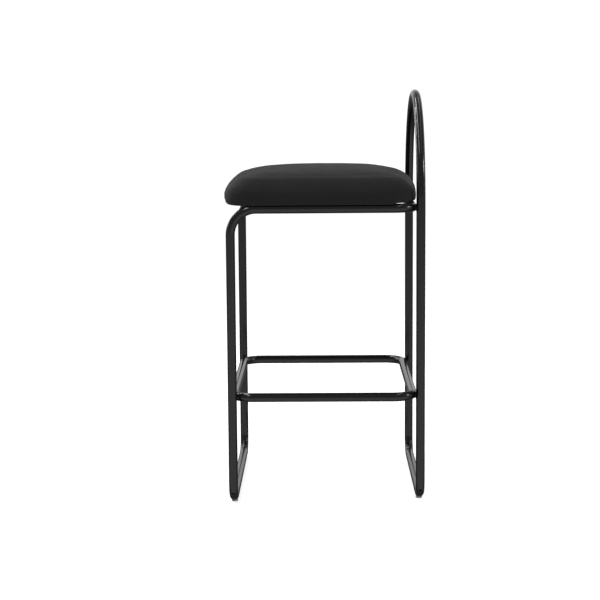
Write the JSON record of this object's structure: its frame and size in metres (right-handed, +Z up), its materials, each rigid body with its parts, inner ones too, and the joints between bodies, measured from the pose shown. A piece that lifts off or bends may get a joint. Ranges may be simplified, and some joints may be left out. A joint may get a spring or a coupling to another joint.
{
  "type": "bar stool",
  "caption": "Counter-height bar stool with sled-style bent tube frame, half-round arch back, footrest ring and a thick padded square seat.",
  "frame": {"origin": "on the floor, under the middle of the overall length and width", "axes": "+Z up, -X the way the sitter faces, +X towards the backrest arch, +Y the sitter's right"},
  "size_m": [0.4008, 0.476, 0.821],
  "materials": {
    "frame_coat": "satin black powder coat",
    "weld_coat": "powder-coated weld metal",
    "zinc_steel": "bright zinc plate",
    "glide_plastic": "grey moulded polyethylene",
    "seat_fabric": "charcoal black woven wool upholstery",
    "foam": "open-cell polyurethane foam",
    "plywood": "unfinished birch plywood",
    "dust_cloth": "black non-woven cloth"
  },
  "bodies": {
    "root": {"dust_cover": "dust_cloth", "foam_pad": "foam", "footrest_ring": "frame_coat", "footrest_weld_front_left": "weld_coat", "footrest_weld_front_right": "weld_coat", "footrest_weld_rear_left": "weld_coat", "footrest_weld_rear_right": "weld_coat", "front_frame_tube": "frame_coat", "glide_front_left": "glide_plastic", "glide_front_right": "glide_plastic", "glide_rear_left": "glide_plastic", "glide_rear_right": "glide_plastic", "mounting_tab_front_left": "frame_coat", "mounting_tab_front_right": "frame_coat", "mounting_tab_rear_left": "frame_coat", "mounting_tab_rear_right": "frame_coat", "rear_arch_tube": "frame_coat", "seat_board": "plywood", "seat_cover": "seat_fabric", "seat_screw_front_left": "zinc_steel", "seat_screw_front_right": "zinc_steel", "seat_screw_rear_left": "zinc_steel", "seat_screw_rear_right": "zinc_steel", "seat_washer_front_left": "zinc_steel", "seat_washer_front_right": "zinc_steel", "seat_washer_rear_left": "zinc_steel", "seat_washer_rear_right": "zinc_steel", "seat_weld_left": "weld_coat", "seat_weld_right": "weld_coat", "tab_weld_front_left": "weld_coat", "tab_weld_front_right": "weld_coat", "tab_weld_rear_left": "weld_coat", "tab_weld_rear_right": "weld_coat", "tee_nut_front_left": "zinc_steel", "tee_nut_front_right": "zinc_steel", "tee_nut_rear_left": "zinc_steel", "tee_nut_rear_right": "zinc_steel"}
  },
  "joints": []
}
